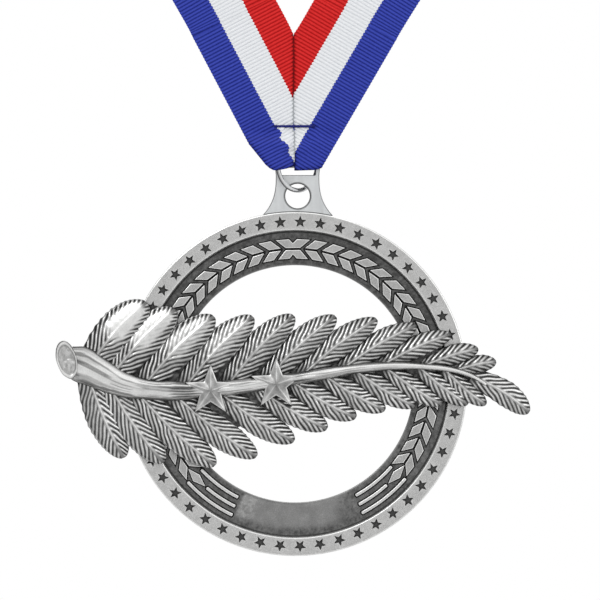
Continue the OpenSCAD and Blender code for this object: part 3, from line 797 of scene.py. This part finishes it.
def add_wreath(build):
    top, bottom = 90 + WREATH_TURN, WREATH_TURN - 90
    for side in (-1, 1):
        for i in range(LEAF_PAIRS):
            start = TOP_TURN + TOP_GAP + i * LEAF_PITCH
            for near, far in (OUTER_ROW, INNER_ROW):
                turns = [start, start + LEAF_TURN, start + LEAF_TURN + LEAF_SLANT, start + LEAF_SLANT]
                outline = [polar(r, top - side * a) for r, a in zip((near, near, far, far), turns)]
                worn = 0.05 * noise(i * 1.9 + near * 900, side + 0.5)
                add_raised(build, outline, LEAF_BEVEL, LEAF_TONE + worn, LEAF_EDGE_TONE)
        for r, start, end in BAR_ROWS:
            turns = np.linspace(start, end, 14)
            tip = math.degrees(BAR_TIP / r)
            below = [polar(r - BAR_W / 2, bottom + side * a) for a in turns]
            above = [polar(r + BAR_W / 2, bottom + side * a) for a in turns[::-1]]
            last, first = (polar(r, bottom + side * a) for a in (turns[-1] + tip, turns[0] - tip))
            add_raised(build, [*below, last, *above, first], BAR_BEVEL, *BAR_TONES)
        low, high = LOZENGE_TURN
        middle, r = (low + high) / 2, BAR_ROWS[1][0]
        lozenge = [(r, low), (r + LOZENGE_HALF_W, middle), (r, high), (r - LOZENGE_HALF_W, middle)]
        lozenge = [polar(q, bottom + side * a) for q, a in lozenge]
        add_raised(build, lozenge, LEAF_BEVEL, LOZENGE_TONE, LEAF_EDGE_TONE)
    for near, far in (OUTER_ROW, INNER_ROW):
        wide = TOP_TURN + LEAF_SLANT
        turns = [TOP_TURN, wide, NOTCH_TURN, 0, -NOTCH_TURN, -wide, -TOP_TURN]
        radii = [near, far, far, mix(far, near, NOTCH_SHARE), far, far, near]
        outline = [polar(r, top - a) for r, a in zip(radii, turns)]
        add_raised(build, outline, LEAF_BEVEL, LEAF_TONE, LEAF_EDGE_TONE)


silver = (0.985, 0.985, 0.975)
ring_build = Build()
add_star_band(ring_build)
add_ring_body(ring_build)
add_wreath(ring_build)
ring_build.make(
    "cast_ring", "medal", "medal_ring", antique_metal("ring_metal", silver, 0.34, 0.00002),
    offset=MIDDLE + RING_PLACE,
)


# ---------- frond ----------

STEM_START, STEM_PITCH, STEM_END = -56e-3, 14e-3, 46e-3
STEM_HEIGHTS = np.array([6.1, -0.1, -1.5, -0.4, 1.6, 3.9, 4.6, 2.4, -6.5]) * 1e-3
STEM_WIDTHS = np.array([8.2, 5.7, 4.3, 3.2, 2.9, 2.2, 1.4, 0.9, 0.5]) * 1e-3
BASES_ABOVE = np.array([-51.2, -38, -17.5, 0.6, 20.2, 38.5]) * 1e-3
BASES_BELOW = np.array([-51.6, -38.5, -16, 3, 19.7, 35.8]) * 1e-3
TIPS_ABOVE = [(-36.8, 20.2), (-20.4, 16.8), (-0.9, 17), (19.4, 16.1), (37.5, 12.4), (48.5, 5.7)]
TIPS_BELOW = [(-42.4, -17.9), (-17.9, -19.6), (2.6, -12.5), (18.5, -6.8), (34.1, -4.9), (46, -4.9)]
TIPS_ABOVE, TIPS_BELOW = np.array(TIPS_ABOVE) * 1e-3, np.array(TIPS_BELOW) * 1e-3
HALF_W_ABOVE, HALF_W_BELOW = (4.9e-3, 2.2e-3), (4.3e-3, 2.3e-3)
LEAFLETS_ABOVE, LEAFLETS_BELOW = 11, 12
END_LEAFLET = np.array([[42.4e-3, 2.1e-3], [56.6e-3, -6.7e-3]])
END_HALF_W = 3.1e-3
WEB_SHARE = 0.6
CUT_END, CUT_END_SIZE, CUT_END_TURN = np.array([-56.2e-3, 6.1e-3]), (4.9e-3, 9.2e-3), 17
cut_c, cut_s = math.cos(math.radians(CUT_END_TURN)), math.sin(math.radians(CUT_END_TURN))
CUT_END_AXES = np.array([[cut_c, -cut_s], [cut_s, cut_c]])
ORNAMENTS, ORNAMENT_R = ((-21.2e-3, -1.4e-3), (-5.2e-3, 0.2e-3)), 6.6e-3
VEIN_PITCH, VEIN_SLOPE = 1.9e-3, 1.85
FULL_BASE = 0.16  # how wide a leaflet already is where it leaves the stem


def stem_point(x):
    t = (np.asarray(x, float) - STEM_START) / STEM_PITCH
    return np.stack([x + 0 * t, curve_at(STEM_HEIGHTS, t)[..., 0]], -1)


def stem_width(x):
    return curve_at(STEM_WIDTHS, (np.asarray(x, float) - STEM_START) / STEM_PITCH)[..., 0]


def leaflet_sets(count, bases, tips, half_w):
    """Base, tip and half-width of each leaflet on one side of the stem."""
    for f in np.arange(count) / (count - 1):
        t = f * (len(tips) - 1)
        base = stem_point(float(curve_at(bases, t)[..., 0]))
        yield base, np.ravel(curve_at(tips, t)), mix(half_w[0], half_w[1], f)


above = list(leaflet_sets(LEAFLETS_ABOVE, BASES_ABOVE, TIPS_ABOVE, HALF_W_ABOVE))
below = list(leaflet_sets(LEAFLETS_BELOW, BASES_BELOW, TIPS_BELOW, HALF_W_BELOW))


def add_cast(build, flat, height, tone, sunk=0.0, edge_tone=0.56):
    """A relief over the plate's back: a grid of points, closed by walls and a flat back."""
    rows, cols = flat.shape[:2]
    front = deep(flat, FRONT_Y - height)
    back = deep(flat[:, [0, -1]], FRONT_Y - sunk)
    i = np.arange(rows - 1)
    n = rows * cols
    left, right = i * cols, i * cols + cols - 1
    b = n + 2 * i
    walls = [
        np.stack([left, left + cols, b + 2, b], -1), np.stack([right, b + 1, b + 3, right + cols], -1),
        np.stack([b, b + 2, b + 3, b + 1], -1),
    ]
    faces = np.concatenate([grid_faces(rows, cols), *walls]).tolist()
    faces.append([*range(cols), n + 1, n])
    faces.append([*range((rows - 1) * cols, rows * cols), n + 2 * rows - 1, n + 2 * rows - 2])
    tones = np.concatenate([np.broadcast_to(tone, flat.shape[:2]).ravel(), np.full(2 * rows, edge_tone)])
    build.add(np.concatenate([front.reshape(-1, 3), back.reshape(-1, 3)]), faces, tones)


def add_leaflet(build, base, tip, half_w, seed, bend=0.0, tilt=0.35e-3, worn=0.0, lift=0.0, painted_shade=0.0):
    """One leaflet with its raised midrib and slanting veins. worn is how far its middle is rubbed
    smooth, and tilt how much its lower side stands over its upper one."""
    run = tip - base
    length = float(np.linalg.norm(run))
    side = np.array([-run[1], run[0]]) / length
    rows, cols = int(length / 0.2e-3) + 8, 2 * int(half_w / 0.24e-3) + 3
    u = np.linspace(0.012, 0.996, rows)[:, None]
    v = np.linspace(-1, 1, cols)[None, :]
    shape = np.sin(math.pi * (FULL_BASE + (1 - FULL_BASE) * u**1.5)) ** 0.5
    notches = np.cos(TAU * (u * length - VEIN_SLOPE * half_w * shape) / VEIN_PITCH)
    wide = half_w * shape * (1 + 0.025 * notches * smooth(u / 0.4) + 0.03 * noise(7 * u + seed, 0.5 + seed))
    flat = base + u[..., None] * run + (bend * length * np.sin(math.pi * u) + wide * v)[..., None] * side
    d, s = np.abs(v) * wide, u * length
    face = np.where(v > 0, 1.0, 2.0)
    phase = (s - VEIN_SLOPE * d + 0.1 * d**2 / half_w) / VEIN_PITCH
    phase = phase + 0.26 * noise(s / 2.4e-3 + seed * 3.7, face * 5.3 + seed + d / 3e-3) + 0.5 * (face - 1)
    ridge = (0.5 + 0.5 * np.cos(TAU * phase)) ** 0.85
    size = 0.82 + 0.3 * noise(np.floor(phase + 0.5) * 1.37 + 0.5, face * 3.1 + seed * 2.3)
    grown = smooth(u / 0.16)
    reach = smooth((d - 0.2e-3) / 0.5e-3) * smooth((1.0 - np.abs(v)) / 0.1) * (0.3 + 0.7 * grown)
    rubbed = worn * smooth((u - 0.34) / 0.2) * smooth((0.97 - u) / 0.08)
    rubbed = rubbed * smooth((0.75 - np.abs(v - 0.08)) / 0.3)
    veins = reach * size * (1 - rubbed)
    crown = (1 - np.abs(v) ** 1.8) * shape**0.6
    midrib = bump(d / 0.34e-3) * smooth((1.0 - u) / 0.25) * (1 - 0.75 * rubbed)
    border = bump((np.abs(v) - 0.955) / 0.035) * smooth((u - 0.4) / 0.25)
    height = 0.95e-3 + lift + 1.15e-3 * crown * (0.55 + 0.45 * grown) - tilt * v * shape
    height += 0.3e-3 * (ridge - 0.5) * veins + 0.3e-3 * midrib + 0.08e-3 * border
    height -= 0.1e-3 * bump((d - 0.62e-3) / 0.25e-3) * (1 - rubbed)
    height += 0.04e-3 * noise(flat[..., 0] / 1.3e-3 + seed, flat[..., 1] / 1.3e-3) * (1 - 0.9 * rubbed)
    # Painted shade: the leaflets above the stem are darkened all over, outside their rubbed middles.
    tone = 0.36 - painted_shade + 1.05 * (ridge - 0.42) * veins + 0.36 * midrib + (0.48 + painted_shade) * rubbed
    # Painted shade: each leaflet is darkened at its base and along its outer edges, in the valleys against
    # the stem and the next leaflets.
    tone = tone + 0.3 * border + 0.1 * crown - 0.16 * (1 - grown)
    tone = tone - 0.12 * smooth((np.abs(v) - 0.7) / 0.3) * (1 - border)
    tone = tone + 0.05 * noise(flat[..., 0] / 0.9e-3, flat[..., 1] / 0.9e-3 + seed)
    add_cast(build, flat, height, np.clip(tone, 0.02, 1), sunk=0.06e-3 + 0.002e-3 * seed)


def add_web(build):
    """The stippled plate between the leaflets."""
    ends = [stem_point(BASES_ABOVE[0])], [mix(END_LEAFLET[0], END_LEAFLET[1], WEB_SHARE)]
    edges = []
    for sets in (above, below):
        line = np.array(ends[0] + [mix(b, t, WEB_SHARE) for b, t, _ in sets] + ends[1])
        edges.append(curve_at(line, np.linspace(0, len(line) - 1, 330)))
    v = np.linspace(0, 1, 84)[None, :, None]
    flat = mix(edges[0][:, None], edges[1][:, None], v)
    grain = noise(flat[..., 0] / 0.5e-3, flat[..., 1] / 0.5e-3)
    add_cast(build, flat, 0.85e-3 + 0.07e-3 * grain, 0.22 + 0.16 * grain, sunk=0.03e-3)


def add_stem(build):
    x = np.linspace(STEM_START + 0.3e-3, STEM_END, 620)
    middle = stem_point(x)
    ahead = unit(np.gradient(middle, axis=0))
    side = np.stack([-ahead[:, 1], ahead[:, 0]], -1)
    v = np.linspace(-1, 1, 33)[None, :]
    half = stem_width(x)[:, None] / 2
    knot = bump((x[:, None] + 51.8e-3) / 1.3e-3)
    half = half * (1 + 0.1 * noise(x[:, None] / 6e-3, 3.1)) + 0.12e-3 + 0.2e-3 * knot
    half *= 0.76 + 0.24 * smooth((x[:, None] - STEM_START) / 3e-3)
    flat = middle[:, None] + (half * v)[..., None] * side[:, None]
    rise = np.minimum(1.6e-3, 0.62 * half + 0.55e-3)
    wander = v * 2.6 + 0.35 * noise(x[:, None] / 7e-3, v * 1.5)
    streak = noise(wander * 1.4 + 7, x[:, None] / 9e-3) + 0.5 * noise(wander * 3.1, x[:, None] / 5e-3 + 4)
    thick = smooth((half - 0.5e-3) / 1e-3)
    height = 1.75e-3 + (rise + 0.35e-3) * np.sqrt(1 - 0.98 * v**2)
    height = height + 0.08e-3 * streak * thick + 0.2e-3 * knot
    cracks = smooth((streak - 0.05) / -0.5) * thick
    in_cut = np.linalg.norm(((flat - CUT_END) @ CUT_END_AXES) / (np.array(CUT_END_SIZE) / 2), axis=-1)
    height = mix(height, 2.7e-3, smooth((0.97 - in_cut) / 0.1))
    fine = smooth((noise(wander * 4.3 + 2, x[:, None] / 7e-3) - 0.15) / 0.4) * thick
    tone = 0.88 - 0.22 * cracks - 0.34 * fine - 0.5 * np.abs(v) ** 6
    tone = tone + 0.06 * noise(x[:, None] / 3e-3, v * 2)
    add_cast(build, flat, height, np.clip(tone, 0.05, 1), sunk=0.02e-3)


def add_cut_end(build):
    """The oval face where the stem was cut, with a bright edge and a rough middle."""
    a = np.linspace(0, 360, 73)[:-1]
    oval = polar(1.0, a) * np.array(CUT_END_SIZE) / 2 * (1 + 0.035 * noise(a / 24, 1.5))[:, None]
    oval = oval @ CUT_END_AXES.T
    stack = [
        (1.0, 0.01e-3, 0.3), (1.03, 1.4e-3, 0.25), (1.04, 2.9e-3, 0.4), (1.0, 3.45e-3, 0.7),
        (0.94, 3.72e-3, 1.0), (0.86, 3.7e-3, 0.85), (0.79, 3.5e-3, 0.55),
    ]
    stack += [(share, 3.46e-3, 0.7) for share in (0.7, 0.6, 0.5, 0.4, 0.3, 0.2, 0.1, 0.03)]
    loops, tones = [], []
    for share, height, tone in stack:
        flat = CUT_END + oval * share
        rough = noise(flat[:, 0] / 0.6e-3, flat[:, 1] / 0.6e-3) * (share < 0.75)
        loops.append(deep(flat, FRONT_Y - height - 0.13e-3 * rough))
        tones.append(tone + 0.16 * rough)
    build.loops(loops, tones, (0, -1))


def add_ornament(build, place):
    """A plain star with five ridges, standing on the stem."""
    steps = 6
    outline = star_outline(ORNAMENT_R, steps)
    stack = [(1.0, 1.2e-3, 0.1), (1.0, 3.0e-3, 0.3), (0.985, 3.2e-3, 0.7), (0.955, 3.3e-3, 0.85)]
    loops = [deep(np.array(place) + outline * share, FRONT_Y - h) for share, h, _ in stack]
    tones = [t for *_, t in stack]
    part = np.arange(len(outline)) % (2 * steps)
    on_ridge = 1 - np.minimum(part, 2 * steps - part) / steps  # 1 on a point, 0 in a notch
    for share in (0.8, 0.6, 0.4, 0.2, 0.02):
        inner = outline * share
        rise = (1 - share) * 0.85e-3
        wear = noise(inner[:, 0] / 1.1e-3 + 9 * place[0], inner[:, 1] / 1.1e-3)
        loops.append(deep(np.array(place) + inner, FRONT_Y - 3.3e-3 - rise - 0.03e-3 * wear))
        tones.append(0.56 + 0.2 * bump((on_ridge - 1) / 0.25) + 0.12 * wear)
    build.loops(loops, tones)


WORN_ABOVE = (1.0, 0.9, 0.6, 0.45)
leaf_build = Build()
add_web(leaf_build)
for i, (base, tip, half_w) in enumerate(above):
    rank = 0.28e-3 * (1 - i / LEAFLETS_ABOVE)
    worn = WORN_ABOVE[i] if i < len(WORN_ABOVE) else 0.12
    # The leaflets above the stem are darkened with painted shade.
    add_leaflet(leaf_build, base, tip, half_w, i + 1, bend=0.035, worn=worn, lift=rank, painted_shade=0.07)
for i, (base, tip, half_w) in enumerate(below):
    rank = 0.28e-3 * i / LEAFLETS_BELOW
    add_leaflet(leaf_build, base, tip, half_w, i + 21, bend=-0.03, lift=rank)
add_leaflet(leaf_build, *END_LEAFLET, END_HALF_W, 41, bend=0.05, tilt=0.1e-3, lift=0.15e-3)
frond_metal = antique_metal("frond_metal", silver, 0.3, 0.00002)
leaf_build.make("frond_leaflets", "medal", "frond", frond_metal, offset=MIDDLE, crease=50)
stem_build = Build()
add_stem(stem_build)
add_cut_end(stem_build)
for place in ORNAMENTS:
    add_ornament(stem_build, place)
stem_build.make("frond_stem_and_stars", "medal", None, frond_metal, offset=MIDDLE, crease=30)


# ---------- hanger tab ----------

tab_low, tab_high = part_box("hanger_tab")
TAB_T = tab_high.y - tab_low.y
TAB_TOP = tab_high.z - MIDDLE.z
TAB_FOOT_W = tab_high.x - tab_low.x
TAB_W, TAB_WAIST_W, TAB_FLARE, TAB_FOOT_Z = 11e-3, 10.6e-3, 2.8, 41.3e-3
HOLE_Z, HOLE_R = 46.1e-3, 3e-3
SLOT_Z, SLOT_HALF_W, SLOT_CORNER = (51.2e-3, 53e-3), 4.4e-3, 0.35e-3


def rounded(corners, radius, steps=5):
    """An outline with each corner cut by an arc-like run of points."""
    corners, points = np.asarray(corners, float), []
    for k, corner in enumerate(corners):
        before, after = corners[k - 1] - corner, corners[(k + 1) % len(corners)] - corner
        a, b = (corner + radius * e / np.linalg.norm(e) for e in (before, after))
        for t in np.linspace(0, 1, steps):
            points.append(mix(mix(a, corner, t), mix(corner, b, t), t))
    return points


def add_tab(build):
    heights = np.linspace(TAB_FOOT_Z, SLOT_Z[0], 40)
    share = (SLOT_Z[0] - heights) / (SLOT_Z[0] - TAB_FOOT_Z)
    half = mix(TAB_WAIST_W, TAB_FOOT_W, share**TAB_FLARE) / 2
    w, low_z = TAB_W / 2, TAB_TOP - 2.5e-3
    top = rounded([(w, low_z), (w, TAB_TOP), (-w, TAB_TOP), (-w, low_z)], 1e-3, 8)[8:24]
    x = np.linspace(-half[0], half[0], 40)[1:-1]
    foot = list(zip(x, RING_PLACE.z + np.sqrt(RING_R**2 - (x - RING_PLACE.x) ** 2)))
    right, left = zip(half, heights), zip(-half[::-1], heights[::-1])
    outer = [*foot, *right, *(tuple(p) for p in top), *left]
    (low, high), half_w = SLOT_Z, SLOT_HALF_W
    slot = rounded([(half_w, low), (half_w, high), (-half_w, high), (-half_w, low)], SLOT_CORNER)
    hole = polar(HOLE_R, np.linspace(0, 360, 97)[:-1]) + (0, HOLE_Z)
    contours = [(np.array(outer), 0.16e-3), (np.array(slot), -0.12e-3), (hole, -0.34e-3)]
    for side in (-1, 1):
        level = side * TAB_T / 2
        face = [shifted(c, 1.5 * d) for c, d in contours]
        triangles = tessellate_polygon([[Vector((x, z, 0)) for x, z in c] for c in face])
        build.add(deep(np.concatenate(face), level), triangles, 1.0)
        for contour, d in contours:
            depth = min(abs(d), 0.24e-3)
            # Each edge's bevel and wall are darkened: patina, together with painted shade standing for the
            # dark reflections and shade along the edges and round the hole.
            stack = [(1.5 * d, level, 1.0), (d, level, 0.4), (0.3 * d, level - side * 0.35 * depth, 0.12),
                     (0, level - side * depth, 0.08), (0, side * 1e-6, 0.6)]
            build.loops([deep(shifted(contour, e), y) for e, y, _ in stack], [t for *_, t in stack], ())


tab_build = Build()
add_tab(tab_build)
tab_metal = bright_metal("tab_plate", (0.8, 0.82, 0.83), 0.26, (1, 1, 0.12), 0.00001)
tab_build.make("hanger_tab_plate", "medal", "hanger_tab", tab_metal, offset=MIDDLE, crease=25)


# ---------- jump ring ----------

JUMP_GAP_TURN, JUMP_SLIT = 205, 0.3e-3
jump_r = (jump_high.z - jump_low.z) / 2 - WIRE_R
slit_turn = math.degrees(JUMP_SLIT / jump_r)
turns = np.radians(np.linspace(-JUMP_GAP_TURN, 360 - slit_turn - JUMP_GAP_TURN, 300))
axis = np.array(SWING_AXIS.normalized())
loop = jump_r * (np.cos(turns)[:, None] * axis + np.sin(turns)[:, None] * np.array([0, 0, 1.0]))
jump_build = Build()
# The shears leave each end of the wire a little pinched, and the pliers leave faint marks
from_end = np.minimum(np.arange(len(turns)), np.arange(len(turns))[::-1])
around = np.arange(24) * TAU / 24
wire = WIRE_R * (1 - 0.22 * np.exp(-from_end / 1.2))[:, None] * (1 + 0 * around)
wire -= 0.02e-3 * bump((from_end[:, None] - 24) / 6) * (0.5 + 0.5 * np.cos(3 * around))
# Painted shade darkens the wire along its inner and outer edges, and leaves it bright where it faces out of
# its own plane
shaded_edges = np.tile(1 - 0.9 * np.abs(np.cos(around)) ** 2.5, len(turns))
jump_build.tube(loop, wire, np.cross(axis, (0, 0, 1)), 24, shaded_edges)
wire_metal = bright_metal("ring_wire", (0.86, 0.87, 0.88), 0.16, (1, 1, 0.3), 0.000008)
jump_build.make(
    "jump_ring_wire", "jump_ring", "jump_ring", wire_metal, offset=JUMP_MIDDLE, crease=40
)


# ---------- rivets ----------

rivet_build = Build()
ring_of_points = np.linspace(0, 360, 49)[:-1]
for k, turn in enumerate(RIVET_TURNS):
    middle = polar(RIVET_CIRCLE_R, float(turn))
    stack = [
        (0.55, -0.6e-3, 0.3), (0.8, -0.34e-3, 0.3), (0.99, -0.3e-3, 0.1), (1.0, -0.17e-3, 0.5),
        (0.93, -0.1e-3, 0.9),
    ]
    stack += [(share, -0.05e-3, 0.75) for share in (0.8, 0.65, 0.5, 0.35, 0.2, 0.05)]
    loops, tones = [], []
    for share, level, tone in stack:
        flat = middle + polar(RIVET_HEAD_R * share, ring_of_points)
        dents = noise(flat[:, 0] / 0.7e-3 + 5 * k, flat[:, 1] / 0.7e-3) * (share < 0.85)
        loops.append(deep(flat, BACK_Y + level - 0.04e-3 * (1 + dents) * (share < 0.85)))
        tones.append(tone + 0.12 * dents)
    rivet_build.loops(loops, tones, (0, -1))
rivet_metal = antique_metal("rivet_head_metal", (0.9, 0.9, 0.9), 0.32, 0.00001)
rivet_build.make(
    "rivet_heads", "medal", "frond_rivets", rivet_metal, offset=MIDDLE + RING_PLACE
)


# ---------- studio ----------


def area_light(name, place, size, power, aim):
    lamp = bpy.data.objects.new(name, bpy.data.lights.new(name, "AREA"))
    bpy.context.scene.collection.objects.link(lamp)
    lamp.location = place
    lamp.rotation_euler = (Vector(aim) - Vector(place)).to_track_quat("-Z", "Y").to_euler()
    lamp.data.shape = "DISK"
    lamp.data.size, lamp.data.energy = size, power
    return lamp


aim = MIDDLE + Vector((0, 0, 0.02))
area_light("key", (-0.9, -1.6, 1.0), 0.7, 9, aim)
area_light("fill", (1.3, -1.5, 0.1), 1.0, 3, aim)
area_light("rim", (0.2, 1.4, 1.1), 0.8, 6, aim)

world = bpy.data.worlds.new("studio")
bpy.context.scene.world = world
world.use_nodes = True
sky = world.node_tree
direction = node(sky, "ShaderNodeTexCoord").outputs["Generated"]
parts = node(sky, "ShaderNodeSeparateXYZ", {0: direction}).outputs
height = math_node(sky, "MULTIPLY_ADD", parts["Z"], 0.5, 0.5)
glow = ramp(sky, height, [(0.0, (0.3,) * 3), (0.45, (0.55,) * 3), (0.62, (0.85,) * 3), (1, (1.25,) * 3)])
side_light = math_node(sky, "MULTIPLY_ADD", parts["X"], 0.3, 1.0)
behind = node(
    sky, "ShaderNodeMapRange", {"Value": parts["Y"], 1: -0.15, 2: 0.35, 3: 1.0, 4: 0.32},
    interpolation_type="SMOOTHSTEP",
).outputs[0]
side_light = math_node(sky, "MULTIPLY", side_light, behind)
glow = node(sky, "ShaderNodeVectorMath", {0: glow, 3: side_light}, operation="SCALE").outputs[0]
seen = node(sky, "ShaderNodeLightPath").outputs["Is Camera Ray"]
put(sky, sky.nodes["Background"], {"Color": mix_colours(sky, seen, glow, (1, 1, 1, 1))})

FLOOR_Z, FLOOR_R = -0.5, 2.4
floor_build = Build()
ring_of = np.radians(np.linspace(0, 360, 97)[:-1])
floor_loops = [
    np.stack([r * np.cos(ring_of), r * np.sin(ring_of), 0 * ring_of + FLOOR_Z], -1)
    for r in (FLOOR_R, FLOOR_R * 0.6, FLOOR_R * 0.2)
]
floor_build.loops(floor_loops, [0.0, 0.0, 0.0])
floor_mesh = bpy.data.meshes.new("floor")
floor_mesh.from_pydata(np.concatenate(floor_build.points).tolist(), [], floor_build.faces)
floor = bpy.data.objects.new("floor", floor_mesh)
bpy.context.scene.collection.objects.link(floor)
floor_material, floor_tree, floor_shader = new_material("pale_floor")
put(floor_tree, floor_shader, {"Base Color": (0.86, 0.86, 0.86, 1), "Roughness": 0.9})
floor_mesh.materials.append(floor_material)

bpy.context.scene.view_settings.view_transform = "Standard"
